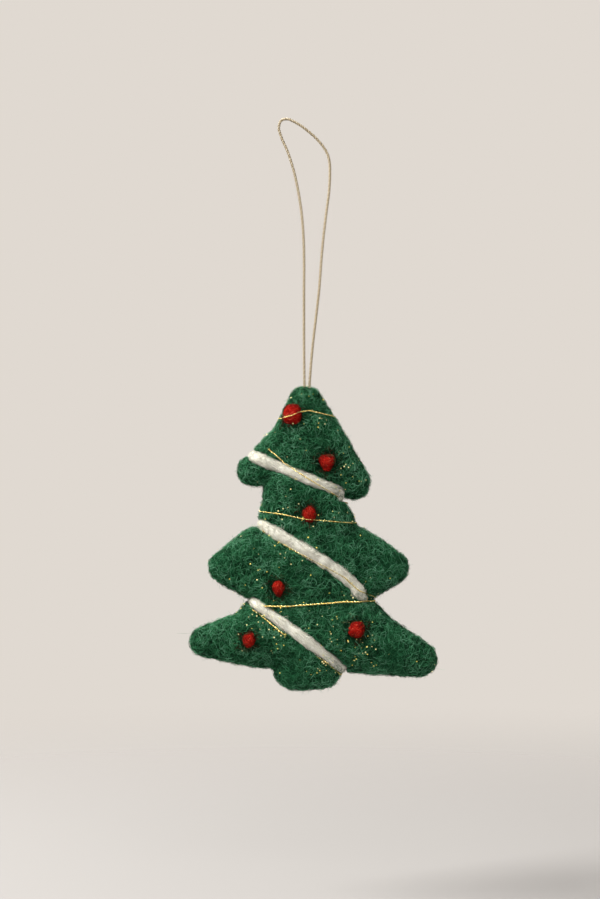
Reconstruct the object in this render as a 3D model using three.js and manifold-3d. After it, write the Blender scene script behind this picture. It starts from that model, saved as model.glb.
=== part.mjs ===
// Needle-felted christmas tree ornament on a gold hanging cord.
// Millimetres, +Z up, the front faces -Y, the origin is where the crown of the hanging loop rests.
// A core of plain wool is felted into a green wool skin. White yarn and gold thread are wound round it,
// red wool balls are felted into dimples, and a knotted gold cord comes out of the tip as a loop.

import * as THREE from "three";
import { ConvexGeometry } from "three/addons/geometries/ConvexGeometry.js";
import { mergeVertices } from "three/addons/utils/BufferGeometryUtils.js";
import Module from "manifold-3d";

const wasm = await Module();
wasm.setup();

// Gap between pieces that lie against each other
const CLEARANCE = 0.3;

// Height of the tree, and how far its boughs reach to either side of the tip in each tier
const TREE_HEIGHT = 100.4;
const TOP_LEFT = 23;
const TOP_RIGHT = 20.8;
const MIDDLE_LEFT = 32.5;
const MIDDLE_RIGHT = 33.6;
const BOTTOM_LEFT = 38.6;
const BOTTOM_RIGHT = 43.1;

// Half the thickness of the tree in its different parts, and the thickness of the dyed skin
const HEART_HALF = 9;
const BOUGH_HALF = 8;
const NECK_HALF = 7.4;
const TRUNK_HALF = 7;
const TIP_HALF = 5;
const SKIN = 3.2;

// Where the tip of the tree hangs below the crown of the loop
const TIP_X = 6.6;
const TIP_DROP = 87;

// The trunk's two sides, and how much higher the right one ends
const TRUNK_LEFT_R = 7;
const TRUNK_RIGHT_R = 6.4;
const TRUNK_TILT = 0.3;

// Rounds of wool that the tree is built up from: centre across and below the tip, radius seen from the
// front, and half the thickness there
const ROUNDS = {
  tip: [-0.3, -5.7, 5.7, TIP_HALF],
  topHeart: [-1.2, -21.2, 11.4, BOUGH_HALF],
  neckLeft: [-8.8, -38.6, 5.6, NECK_HALF],
  neckRight: [7, -39.7, 5.6, NECK_HALF],
  collarLeft: [-11.6, -45.6, 4.7, NECK_HALF],
  collarRight: [11.3, -45.2, 4.7, NECK_HALF],
  middleHeart: [0.3, -55.6, 11.6, HEART_HALF],
  shoulderLeft: [-16.2, -54.4, 7.6, BOUGH_HALF],
  shoulderRight: [16.4, -54.4, 7.6, BOUGH_HALF],
  waistLeft: [-13.2, -67.8, 5.2, NECK_HALF],
  waistRight: [14.8, -68.1, 5.4, NECK_HALF],
  hipLeft: [-13.2, -71, 5.2, NECK_HALF],
  hipRight: [14.8, -71.5, 5.4, NECK_HALF],
  bottomHeart: [1.7, -82.1, 11.3, HEART_HALF],
  boughLeft: [-16.9, -83.4, 9.7, BOUGH_HALF],
  boughRight: [20.9, -85, 10.3, BOUGH_HALF],
  trunkLeft: [-4.3, TRUNK_LEFT_R - TREE_HEIGHT, TRUNK_LEFT_R, TRUNK_HALF],
  trunkRight: [5, TRUNK_RIGHT_R + TRUNK_TILT - TREE_HEIGHT, TRUNK_RIGHT_R, TRUNK_HALF],
};

// Rounds at the ends of the boughs: reach to the left or right, height below the tip, and radius
const BOUGH_ENDS = {
  topLeft: [-TOP_LEFT, -28, 5.1],
  topRight: [TOP_RIGHT, -31.8, 6],
  middleLeft: [-MIDDLE_LEFT, -59.9, 5.2],
  middleRight: [MIDDLE_RIGHT, -60.2, 5.4],
  bottomLeft: [-BOTTOM_LEFT, -84.8, 5],
  bottomRight: [BOTTOM_RIGHT, -90.6, 5.6],
};
for (const [name, [reach, z, radius]] of Object.entries(BOUGH_ENDS)) {
  ROUNDS[name] = [reach - Math.sign(reach) * radius, z, radius, TIP_HALF];
}

// Lobes of the tree: each is the wool stretched over a few rounds
const TIP_LOBE = ["tip", "topHeart", "topRight"];
const LOBES = [
  ["topHeart", "topRight"],
  ["topHeart", "topLeft"],
  ["topHeart", "neckLeft", "neckRight"],
  ["neckLeft", "neckRight", "collarLeft", "collarRight", "middleHeart"],
  ["shoulderLeft", "middleLeft", "waistLeft"],
  ["shoulderRight", "middleRight", "waistRight"],
  ["shoulderLeft", "shoulderRight", "middleHeart", "waistLeft", "waistRight"],
  ["hipLeft", "hipRight", "bottomHeart", "boughLeft", "boughRight"],
  ["boughLeft", "bottomLeft"],
  ["boughRight", "bottomRight"],
  ["bottomHeart", "trunkLeft", "trunkRight"],
];
const ROUND_SIDES = 16;
const CORE_SIDES = 12;

// Red wool balls: centre across and below the tip, and radius
const BALLS = {
  tip_ball: [-4.9, -9.7, 3.3],
  top_ball: [6.5, -25.4, 3],
  neck_ball: [0.6, -42.1, 2.5],
  middle_ball: [-9.8, -66.9, 2.5],
  left_bough_ball: [-19.2, -83.2, 2.5],
  right_bough_ball: [16.4, -80, 3.1],
};
const BALL_STANDS_OUT = 0.5;
const BALL_SIDES = 12;
const BALL_RINGS = 9;

// Windings: each stop is across the front or the back from the one before, at the left or right edge of the
// tree at a height below the tip, at its lower edge at a place across, or at a point on that face
const onFront = (points) => points.map((point) => ({ over: "front", point }));

// White yarn garland, half sunk in a groove of the felt and drawn in deeper at the edges of the tree
const YARN_R = 1.95;
const YARN_SUNK = 0.7;
const YARN_EDGE_SUNK = 1.8;
const YARN_SIDES = 8;
const YARN_START = [-9, -29];
const YARN_LEFT = [-23.4, -46, -71.3];
const YARN_RIGHT = [-37.2, -70.1];
const YARN_BELOW = 11.7;
const YARN_END = [12, -88];
const YARN_TOP = [[-9.5, -26.7], [11.1, -35]];
const YARN_MIDDLE = [[1.3, -55.2], [9.5, -60.4], [15.5, -65.5]];
const YARN_BOTTOM = [[-0.4, -83.3]];
const YARN_STOPS = [
  { over: "back", point: YARN_START },
  { over: "back", left: YARN_LEFT[0] },
  ...onFront(YARN_TOP),
  { over: "front", right: YARN_RIGHT[0] },
  { over: "back", left: YARN_LEFT[1] },
  ...onFront(YARN_MIDDLE),
  { over: "front", right: YARN_RIGHT[1] },
  { over: "back", left: YARN_LEFT[2] },
  ...onFront(YARN_BOTTOM),
  { over: "front", below: YARN_BELOW },
  { over: "back", point: YARN_END },
];

// Gold thread, pulled tight over everything else
const THREAD_R = 0.3;
const THREAD_SIDES = 6;
const THREAD_START = [-2, -9];
const THREAD_LEFT = [-10.9, -18.5, -41.4, -45.2, -72.4, -73.7];
const THREAD_RIGHT = [-10.4, -38.9, -45.4, -70, -71.1];
const THREAD_BELOW = 11.9;
const THREAD_END = [9, -90];
const THREAD_OVER_TIP_BALL = [[-5.1, -10], [-2.4, -8.8], [0.6, -8.3], [3.4, -8.9]];
const THREAD_ON_TOP_YARN = [[-10.3, -22.9], [-7.2, -25.7], [-1.5, -29.5], [9.3, -36], [12.4, -37.5]];
const THREAD_UNDER_NECK_BALL = [[-8.3, -42.3], [-1.3, -43.8]];
const THREAD_ON_MIDDLE_YARN = [
  [-13.5, -48.9], [-7.9, -52.1], [-3, -54.9], [3.9, -58.4], [12.1, -62.8], [16.8, -67.2],
];
const THREAD_AT_WAIST = [[-16.5, -72.3], [-6.7, -72.5], [12.4, -71]];
const THREAD_ON_BOTTOM_YARN = [[-17.6, -73.7], [-14.2, -76.3], [-7.9, -81.4], [-1.3, -86], [6.2, -90.9]];
const THREAD_STOPS = [
  { over: "back", point: THREAD_START },
  { over: "back", left: THREAD_LEFT[0] },
  ...onFront(THREAD_OVER_TIP_BALL),
  { over: "front", right: THREAD_RIGHT[0] },
  { over: "back", left: THREAD_LEFT[1] },
  ...onFront(THREAD_ON_TOP_YARN),
  { over: "front", right: THREAD_RIGHT[1] },
  { over: "back", left: THREAD_LEFT[2] },
  ...onFront(THREAD_UNDER_NECK_BALL),
  { over: "front", right: THREAD_RIGHT[2] },
  { over: "back", left: THREAD_LEFT[3] },
  ...onFront(THREAD_ON_MIDDLE_YARN),
  { over: "front", right: THREAD_RIGHT[3] },
  { over: "back", left: THREAD_LEFT[4] },
  ...onFront(THREAD_AT_WAIST),
  { over: "front", right: THREAD_RIGHT[4] },
  { over: "back", left: THREAD_LEFT[5] },
  ...onFront(THREAD_ON_BOTTOM_YARN),
  { over: "front", below: THREAD_BELOW },
  { over: "back", point: THREAD_END },
];

// How closely a winding is looked at along each pass, how far its line may be simplified, and how much of
// its own length on either side of a point isn't counted as another turn
const PASS_STEPS = 72;
const PASS_TOLERANCE = 0.08;
const SAME_TURN = 30;

// Hanging cord, and its route between the two places where it leaves the felt
const CORD_R = 0.5;
const CORD_SPACING = 1.7;
const CORD_STEP = 2.4;
const CORD_SIDES = 8;
const CORD_PARTS = 2000;
const TWIST_Z = -13;
const TWIST_GAP = 0.6;
const CORD_ROUTE = [
  [5.65, -78.5], [5.6, -71.2], [5.6, -63.6], [5.6, -55.3], [5.65, -47],
  [5.5, -38.8], [4.9, -30.5], [3.7, -22.5], [2, -15], [0, -9], [-1.9, -4.6], [-2.7, -1.4],
  [-1.8, 0.9], [0.1, 1.3], [2.4, 0.4], [4.3, -0.7], [6.6, -2.4], [8.5, -4], [10.6, -6.1],
  [12.1, -8], [13.4, -10.3], [14.1, -13.3], [14.2, -16.8], [13.9, -22.8], [13.1, -29], [12.3, -35.6],
  [11.5, -43.6], [10.6, -55.5], [9.7, -63.4], [8.7, -71.8], [7.9, -80],
];

// Stopper knot inside the tip
const KNOT_R = 2;
const KNOT_HALF = 1.6;
const KNOT_Z = -10;
const STUB_BELOW_PIVOT = 0.6;
const PIVOT_ABOVE_TIP = CORD_R + CLEARANCE;

// Solids

function solidOf(geometry) {
  const bare = geometry.index ? geometry.toNonIndexed() : geometry.clone();
  bare.deleteAttribute("normal");
  bare.deleteAttribute("uv");
  const merged = mergeVertices(bare, 1e-4);
  return new wasm.Manifold(
    new wasm.Mesh({
      numProp: 3,
      vertProperties: merged.attributes.position.array,
      triVerts: new Uint32Array(merged.index.array),
    }),
  );
}

function geometryOf(solid) {
  const mesh = solid.getMesh();
  const geometry = new THREE.BufferGeometry();
  geometry.setAttribute("position", new THREE.BufferAttribute(mesh.vertProperties, 3));
  geometry.setIndex(new THREE.BufferAttribute(mesh.triVerts, 1));
  geometry.computeVertexNormals();
  return geometry;
}

function joined(solids) {
  return solids.reduce((whole, piece) => whole.add(piece));
}

// A closed round tube with a ring at each point, turned as little as possible from ring to ring.
function tube(points, radius, sides) {
  const rings = points.length;
  const along = points.map((_, i) => {
    const before = points[Math.max(i - 1, 0)];
    const after = points[Math.min(i + 1, rings - 1)];
    return after.clone().sub(before).normalize();
  });
  const across = new THREE.Vector3(0, 1, 0).cross(along[0]);
  if (across.lengthSq() < 0.01) across.set(1, 0, 0);
  const positions = [];
  points.forEach((point, i) => {
    across.addScaledVector(along[i], -across.dot(along[i])).normalize();
    const other = along[i].clone().cross(across);
    for (let k = 0; k < sides; k++) {
      const angle = (2 * Math.PI * k) / sides;
      const corner = point.clone();
      corner.addScaledVector(across, radius * Math.cos(angle));
      corner.addScaledVector(other, radius * Math.sin(angle));
      positions.push(corner.x, corner.y, corner.z);
    }
  });
  positions.push(...points[0].toArray(), ...points[rings - 1].toArray());
  const start = rings * sides;
  const index = [];
  for (let k = 0; k < sides; k++) {
    const next = (k + 1) % sides;
    for (let i = 0; i < rings - 1; i++) {
      const [a, b, c, d] = [i * sides + k, i * sides + next, (i + 1) * sides + k, (i + 1) * sides + next];
      index.push(a, b, d, a, d, c);
    }
    const last = (rings - 1) * sides;
    index.push(start, next, k, start + 1, last + k, last + next);
  }
  const geometry = new THREE.BufferGeometry();
  geometry.setAttribute("position", new THREE.Float32BufferAttribute(positions, 3));
  geometry.setIndex(index);
  return geometry;
}

// Wool body

function lobe(names, grow, sides) {
  const points = names.flatMap((name) => {
    const [x, z, radius, half] = ROUNDS[name];
    const ball = new THREE.SphereGeometry(1, sides, sides / 2);
    ball.scale(radius + grow, half + grow, radius + grow);
    ball.translate(x, 0, z);
    const { array } = ball.attributes.position;
    return Array.from({ length: array.length / 3 }, (_, i) => new THREE.Vector3().fromArray(array, 3 * i));
  });
  return solidOf(new ConvexGeometry(points));
}

function treeBody(grow) {
  return joined([TIP_LOBE, ...LOBES].map((names) => lobe(names, grow, ROUND_SIDES)));
}

// The space inside the skin, which reaches only into the rounds that are thicker than the skin.
function coreBody(inset) {
  const thick = (name) => Math.min(ROUNDS[name][2], ROUNDS[name][3]) > inset;
  const lobes = LOBES.map((names) => names.filter(thick)).filter((names) => names.length > 0);
  return joined(lobes.map((names) => lobe(names, -inset, CORE_SIDES)));
}

// Surfaces that something lies on, found by looking along a line

const SIGHT = 200;
const LOOK = {
  left: new THREE.Vector3(1, 0, 0),
  right: new THREE.Vector3(-1, 0, 0),
  below: new THREE.Vector3(0, 0, 1),
  front: new THREE.Vector3(0, 1, 0),
  back: new THREE.Vector3(0, -1, 0),
};

function surfaceOf(solids) {
  const material = new THREE.MeshBasicMaterial({ side: THREE.DoubleSide });
  return solids.map((solid) => new THREE.Mesh(geometryOf(solid), material));
}

function seen(surface, side, x, z) {
  const look = LOOK[side];
  const from = new THREE.Vector3(x, 0, z).addScaledVector(look, -SIGHT);
  const [hit] = new THREE.Raycaster(from, look).intersectObjects(surface, false);
  return hit ? hit.point : null;
}

// The point on a face that a winding passes, or the edge of the tree where it goes round.
function stopPoint(surface, edge, stop) {
  if (stop.point) return seen(surface, stop.over, ...stop.point);
  if (stop.below !== undefined) return seen(edge, "below", stop.below, 0);
  if (stop.left !== undefined) return seen(edge, "left", 0, stop.left);
  return seen(edge, "right", 0, stop.right);
}

// The upper convex hull of a profile: the line that a strand pulled tight takes over it.
function pulledTight(profile) {
  const hull = [];
  for (const point of profile) {
    while (hull.length > 1) {
      const [a, b] = hull.slice(-2);
      const turn = (b.x - a.x) * (point.y - a.y) - (b.y - a.y) * (point.x - a.x);
      if (turn < 0) break;
      hull.pop();
    }
    hull.push(point);
  }
  return hull;
}

// The corners of a line that keep it within the tolerance.
function thinned(line) {
  const [first, last] = [line[0], line[line.length - 1]];
  const chord = new THREE.Line3(first, last);
  let farthest = 0;
  let at = 0;
  line.forEach((point, i) => {
    const away = chord.closestPointToPoint(point, true, new THREE.Vector3()).distanceTo(point);
    if (away > farthest) [farthest, at] = [away, i];
  });
  if (farthest < PASS_TOLERANCE) return [first, last];
  return [...thinned(line.slice(0, at + 1)).slice(0, -1), ...thinned(line.slice(at))];
}

// One pass of a winding between two stops, across the front or the back, looked at closest near the edges.
function windingPass(surface, from, to, side) {
  const outward = side === "front" ? -1 : 1;
  const chord = Math.hypot(to.x - from.x, to.z - from.z);
  const profile = [];
  for (let i = 0; i <= PASS_STEPS; i++) {
    const share = (1 - Math.cos((Math.PI * i) / PASS_STEPS)) / 2;
    const point = from.clone().lerp(to, share);
    const ends = i === 0 || i === PASS_STEPS;
    const hit = ends ? point : seen(surface, side, point.x, point.z) || point;
    profile.push(new THREE.Vector2(share * chord, Math.max(outward * hit.y, 0)));
  }
  const line = pulledTight(profile).map(({ x, y }) => {
    const point = from.clone().lerp(to, x / chord);
    point.y = outward * y;
    return point;
  });
  return thinned(line);
}

function winding(surface, edge, stops) {
  const points = stops.map((stop) => stopPoint(surface, edge, stop));
  return points.slice(1).flatMap((to, i) => {
    const pass = windingPass(surface, points[i], to, stops[i + 1].over);
    return i ? pass.slice(1) : pass;
  });
}

// The least clear distance between turns of a wound strand.
function leastGap(points, radius) {
  let least = Infinity;
  let travelled = 0;
  const lengths = points.map((point, i) => (i ? (travelled += point.distanceTo(points[i - 1])) : 0));
  points.forEach((a, i) => {
    points.slice(i + 1).forEach((b, j) => {
      if (lengths[i + 1 + j] - lengths[i] > SAME_TURN) least = Math.min(least, a.distanceTo(b));
    });
  });
  return least - 2 * radius;
}

// Pieces of the tree

const yarnFace = surfaceOf([treeBody(-YARN_SUNK)]);
const yarnEdge = surfaceOf([treeBody(-YARN_EDGE_SUNK)]);
const yarnRoute = winding(yarnFace, yarnEdge, YARN_STOPS);
const yarn = (grow) => solidOf(tube(yarnRoute, YARN_R + grow, YARN_SIDES));

const faceAt = surfaceOf([treeBody(BALL_STANDS_OUT)]);
function ball([x, z, radius], grow) {
  const place = seen(faceAt, "front", x, z);
  const geometry = new THREE.SphereGeometry(radius + grow, BALL_SIDES, BALL_RINGS);
  return solidOf(geometry.translate(place.x, place.y, place.z));
}

const overThread = THREAD_R + CLEARANCE;
const threadFace = surfaceOf([
  treeBody(overThread),
  yarn(overThread),
  ...Object.values(BALLS).map((place) => ball(place, overThread)),
]);
const threadRoute = winding(threadFace, threadFace, THREAD_STOPS);

console.log("least gap of the yarn to itself", leastGap(yarnRoute, YARN_R).toFixed(2), "mm");
console.log("least gap of the thread to itself", leastGap(threadRoute, THREAD_R).toFixed(2), "mm");

// The cord's two ends go down through a slot in the tip to the knot, which lies above the core.
function slot(radius, bottom, top) {
  const half = CORD_SPACING / 2;
  const outline = new THREE.Shape();
  outline.absarc(half, 0, radius, -Math.PI / 2, Math.PI / 2);
  outline.absarc(-half, 0, radius, Math.PI / 2, (3 * Math.PI) / 2);
  const depth = top - bottom;
  const bar = new THREE.ExtrudeGeometry(outline, { depth, bevelEnabled: false, curveSegments: 6 });
  return solidOf(bar.translate(0, 0, bottom));
}

function knotBarrel(grow) {
  const profile = new THREE.Shape();
  profile.moveTo(0, -KNOT_HALF - grow);
  profile.absellipse(0, 0, KNOT_R + grow, KNOT_HALF + grow, -Math.PI / 2, Math.PI / 2);
  const barrel = new THREE.LatheGeometry(profile.getPoints(10), 12);
  return solidOf(barrel.rotateX(Math.PI / 2).translate(0, 0, KNOT_Z));
}

function cordStub(side) {
  const top = PIVOT_ABOVE_TIP - STUB_BELOW_PIVOT;
  const length = top - KNOT_Z;
  const stub = new THREE.CylinderGeometry(CORD_R, CORD_R, length, CORD_SIDES).rotateX(Math.PI / 2);
  return solidOf(stub.translate((side * CORD_SPACING) / 2, 0, top - length / 2));
}

const anchor = joined([knotBarrel(0), cordStub(-1), cordStub(1)]);

// What is let into the wool: the cord with its knot, the yarn and the balls
const [, heartZ] = ROUNDS.topHeart;
const letIn = joined([
  slot(CORD_R + CLEARANCE, KNOT_Z, PIVOT_ABOVE_TIP),
  knotBarrel(CLEARANCE),
  yarn(CLEARANCE),
  ...Object.values(BALLS).map((place) => ball(place, CLEARANCE)),
]);
const core = coreBody(SKIN + CLEARANCE).subtract(letIn);
const skin = treeBody(0)
  .subtract(coreBody(SKIN))
  .subtract(slot(CORD_R + CLEARANCE, heartZ, KNOT_Z))
  .subtract(letIn);

// Hanging cord, in the plane of the tree: two legs, and a crown that they can twist under

const cordEnd = (side) => [TIP_X + (side * CORD_SPACING) / 2, PIVOT_ABOVE_TIP - TIP_DROP];
const cordPoints = [cordEnd(-1), ...CORD_ROUTE, cordEnd(1)].map(([x, z]) => new THREE.Vector3(x, 0, z));
const cordCurve = new THREE.CatmullRomCurve3(cordPoints);
cordCurve.arcLengthDivisions = CORD_PARTS;
const cordLength = cordCurve.getLength();

function cordPiece(from, to) {
  const steps = Math.round(((to - from) * cordLength) / CORD_STEP);
  const shares = Array.from({ length: steps + 1 }, (_, i) => from + ((to - from) * i) / steps);
  const path = new THREE.CatmullRomCurve3(shares.map((share) => cordCurve.getPointAt(share)));
  const section = new THREE.Shape().absarc(0, 0, CORD_R, 0, 2 * Math.PI);
  return new THREE.ExtrudeGeometry(section, { extrudePath: path, steps, curveSegments: CORD_SIDES / 2 });
}

// Shares of the cord's length at which it goes up past the twist and comes down past it again
const aboveTwist = Array.from({ length: CORD_PARTS }, (_, i) => i / CORD_PARTS).filter(
  (share) => cordCurve.getPointAt(share).z > TWIST_Z,
);
const twistUp = aboveTwist[0];
const twistDown = aboveTwist[aboveTwist.length - 1];
const halfGap = TWIST_GAP / 2 / cordLength;

console.log("cord from felt to felt", cordLength.toFixed(1), "mm");

// Materials

const wool = (color) => new THREE.MeshStandardMaterial({ color, roughness: 0.95, metalness: 0 });
const GREEN_WOOL = wool(0x14502f);
const PLAIN_WOOL = wool(0xe6dfcf);
const WHITE_WOOL = wool(0xe8e0d4);
const RED_WOOL = wool(0xa81e16);
const GOLD_THREAD = new THREE.MeshStandardMaterial({ color: 0xc9a13b, roughness: 0.35, metalness: 0.9 });
const GOLD_CORD = new THREE.MeshStandardMaterial({ color: 0xc8ae7c, roughness: 0.5, metalness: 0.4 });

function piece(name, geometry, material) {
  const mesh = new THREE.Mesh(geometry, material);
  mesh.name = name;
  return mesh;
}

// Assembly

const tree = new THREE.Group();
tree.position.set(TIP_X, 0, -TIP_DROP);
tree.add(
  piece("felt_skin", geometryOf(skin), GREEN_WOOL),
  piece("wool_core", geometryOf(core), PLAIN_WOOL),
  piece("yarn_garland", geometryOf(yarn(0)), WHITE_WOOL),
  piece("gold_thread", tube(threadRoute, THREAD_R, THREAD_SIDES), GOLD_THREAD),
  piece("anchor_knot", geometryOf(anchor), GOLD_CORD),
);
for (const [name, place] of Object.entries(BALLS)) {
  tree.add(piece(name, geometryOf(ball(place, 0)), RED_WOOL));
}

const cord = new THREE.Group();
cord.add(
  piece("loop_leg_left", cordPiece(0, twistUp - halfGap), GOLD_CORD),
  piece("loop_crown", cordPiece(twistUp + halfGap, twistDown - halfGap), GOLD_CORD),
  piece("loop_leg_right", cordPiece(twistDown + halfGap, 1), GOLD_CORD),
);

const ornament = new THREE.Group();
ornament.add(cord, tree);

export default ornament;
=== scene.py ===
# Needle-felted christmas tree ornament on a gold hanging cord.
# Metres, +Z up, the front faces -Y, and the origin is where the crown of the hanging loop rests.

import math

import bpy
import numpy as np
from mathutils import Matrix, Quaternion, Vector, noise
from mathutils.bvhtree import BVHTree


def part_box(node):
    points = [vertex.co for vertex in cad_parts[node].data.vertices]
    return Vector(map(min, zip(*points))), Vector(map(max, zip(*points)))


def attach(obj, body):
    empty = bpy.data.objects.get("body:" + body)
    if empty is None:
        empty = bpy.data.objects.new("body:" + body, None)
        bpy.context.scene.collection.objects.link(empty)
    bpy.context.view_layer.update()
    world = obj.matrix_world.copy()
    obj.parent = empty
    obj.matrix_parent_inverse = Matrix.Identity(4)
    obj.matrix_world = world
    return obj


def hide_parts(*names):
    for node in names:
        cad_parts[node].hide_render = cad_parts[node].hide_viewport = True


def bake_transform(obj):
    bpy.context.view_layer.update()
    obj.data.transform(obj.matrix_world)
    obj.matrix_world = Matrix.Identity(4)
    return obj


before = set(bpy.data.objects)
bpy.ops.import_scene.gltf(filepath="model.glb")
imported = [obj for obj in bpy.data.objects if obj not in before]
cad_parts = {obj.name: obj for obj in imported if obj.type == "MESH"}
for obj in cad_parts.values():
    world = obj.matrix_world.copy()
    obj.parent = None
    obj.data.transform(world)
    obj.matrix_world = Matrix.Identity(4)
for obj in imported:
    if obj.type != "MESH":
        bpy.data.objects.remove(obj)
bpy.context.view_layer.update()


# Wool core
# A batt of plain undyed wool, rolled up and needled firm, that gives the tree its thickness.
# The dyed skin is felted over it, so nothing of it shows on the finished tree.

MM = 0.001
CORE_VOXEL = 1.1 * MM
CORE_SOFTENING = 4
CORE_LUMPS = [(6 * MM, 0.5 * MM)]
CORE_SHADES = [(196, 186, 162), (222, 213, 192), (236, 229, 212)]
CORE_STRAND = 1.2 * MM
CORE_PATCH = 9 * MM
SHADE_STEPS = (0.42, 0.66, 0.95)
STRAND_SHARE = 0.45
STRAND_RELIEF = 0.25 * MM


def linear(red, green, blue):
    """The linear colour of an sRGB one that is given in 0 to 255."""
    shares = [value / 255 for value in (red, green, blue)]
    return [s / 12.92 if s <= 0.04045 else ((s + 0.055) / 1.055) ** 2.4 for s in shares] + [1]


def copy_of_node(node, name):
    """A copy of a CAD node as a new piece, with its loose triangles joined."""
    piece = bpy.data.objects.new(name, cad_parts[node].data.copy())
    bpy.context.scene.collection.objects.link(piece)
    piece.data.materials.clear()
    bpy.ops.object.select_all(action="DESELECT")
    piece.select_set(True)
    bpy.context.view_layer.objects.active = piece
    bpy.ops.object.mode_set(mode="EDIT")
    bpy.ops.mesh.select_all(action="SELECT")
    bpy.ops.mesh.remove_doubles(threshold=0.001 * MM)
    bpy.ops.object.mode_set(mode="OBJECT")
    return piece


def worked(piece, kind, **settings):
    """Puts a modifier on a piece and applies it."""
    modifier = piece.modifiers.new(kind, kind)
    for setting, value in settings.items():
        setattr(modifier, setting, value)
    bpy.context.view_layer.objects.active = piece
    bpy.ops.object.modifier_apply(modifier=modifier.name)


def needled(piece, voxel, softening, lumps):
    """Felts a plain solid: small even faces, soft edges, and lumps of the given sizes and heights."""
    worked(piece, "REMESH", mode="VOXEL", voxel_size=voxel, use_smooth_shade=True)
    worked(piece, "SMOOTH", factor=0.5, iterations=softening)
    for size, height in lumps:
        clouds = bpy.data.textures.new(piece.name + "_lumps", "CLOUDS")
        clouds.noise_scale = size
        clouds.noise_depth = 2
        worked(piece, "DISPLACE", texture=clouds, texture_coords="LOCAL", strength=height, mid_level=0.5)


def felted_wool(name, shades, strand, patch):
    """Felted wool: matted strands of three shades, with lighter and darker patches."""
    material = bpy.data.materials.new(name)
    material.use_nodes = True
    nodes = material.node_tree.nodes
    link = material.node_tree.links.new
    shader = nodes["Principled BSDF"]
    place = nodes.new("ShaderNodeTexCoord")
    strands = nodes.new("ShaderNodeTexNoise")
    strands.noise_type = "RIDGED_MULTIFRACTAL"
    strands.inputs["Scale"].default_value = 1 / strand
    strands.inputs["Detail"].default_value = 4
    strands.inputs["Distortion"].default_value = 1.6
    patches = nodes.new("ShaderNodeTexNoise")
    patches.inputs["Scale"].default_value = 1 / patch
    patches.inputs["Detail"].default_value = 3
    both = nodes.new("ShaderNodeMath")
    both.operation = "MULTIPLY_ADD"
    both.inputs[1].default_value = STRAND_SHARE
    ramp = nodes.new("ShaderNodeValToRGB")
    ramp.color_ramp.elements.new(SHADE_STEPS[1])
    for element, position, shade in zip(ramp.color_ramp.elements, SHADE_STEPS, shades):
        element.position = position
        element.color = linear(*shade)
    bump = nodes.new("ShaderNodeBump")
    bump.inputs["Strength"].default_value = 0.6
    bump.inputs["Distance"].default_value = STRAND_RELIEF
    link(place.outputs["Object"], strands.inputs["Vector"])
    link(place.outputs["Object"], patches.inputs["Vector"])
    link(strands.outputs["Fac"], both.inputs[0])
    link(patches.outputs["Fac"], both.inputs[2])
    link(both.outputs["Value"], ramp.inputs["Fac"])
    link(ramp.outputs["Color"], shader.inputs["Base Color"])
    link(strands.outputs["Fac"], bump.inputs["Height"])
    link(bump.outputs["Normal"], shader.inputs["Normal"])
    shader.inputs["Roughness"].default_value = 1
    shader.inputs["Specular IOR Level"].default_value = 0.04
    return material


core = copy_of_node("wool_core", "wool_batt")
needled(core, CORE_VOXEL, CORE_SOFTENING, CORE_LUMPS)
core.data.materials.append(felted_wool("plain_wool", CORE_SHADES, CORE_STRAND, CORE_PATCH))
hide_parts("wool_core")
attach(core, "tree")


# Green felt skin
# Dyed wool laid over the core and needled until it mats, which leaves soft lumps and small pits.
# It follows the grooves and dimples in which the yarn and the balls are set. Beside the neck, the wool
# of the right-hand bough runs together with that of the neck and rounds off the crease.

FELT_VOXEL = 0.55 * MM
FELT_SOFTENING = 5
FELT_LUMPS = [(7 * MM, 1.0 * MM), (1.9 * MM, 0.85 * MM)]
FELT_SHADES = [(11, 35, 21), (22, 62, 39), (37, 93, 61)]
FELT_STRAND = 1.1 * MM
FELT_PATCH = 11 * MM
CREASE_X = 24.4 * MM
CREASE_Z = -133 * MM
CREASE_REACH = 9 * MM
CREASE_ROUNDS = 60

felt = copy_of_node("felt_skin", "green_felt")
worked(felt, "REMESH", mode="VOXEL", voxel_size=FELT_VOXEL)
run_together = felt.vertex_groups.new(name="run_together")
for corner in felt.data.vertices:
    apart = math.hypot(corner.co.x - CREASE_X, corner.co.z - CREASE_Z) / CREASE_REACH
    run_together.add([corner.index], max(0, 1 - apart), "REPLACE")
worked(felt, "SMOOTH", factor=1, iterations=CREASE_ROUNDS, vertex_group="run_together")
needled(felt, FELT_VOXEL, FELT_SOFTENING, FELT_LUMPS)
felt.data.materials.append(felted_wool("green_wool", FELT_SHADES, FELT_STRAND, FELT_PATCH))
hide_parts("felt_skin")
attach(felt, "tree")


# Matted green fibres
# The outermost wool of the skin: crimped fibres that lie over each other in short curls, in the few
# shades of a carded dye lot, and thin ones that stand off as a halo. The lower layer takes mostly the
# darker shades and the upper one the lighter, a painted shade on the fibres that lie deeper.

GREEN_FIBRES = [(17, 49, 29), (42, 98, 64), (71, 136, 96), (110, 169, 134)]
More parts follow.
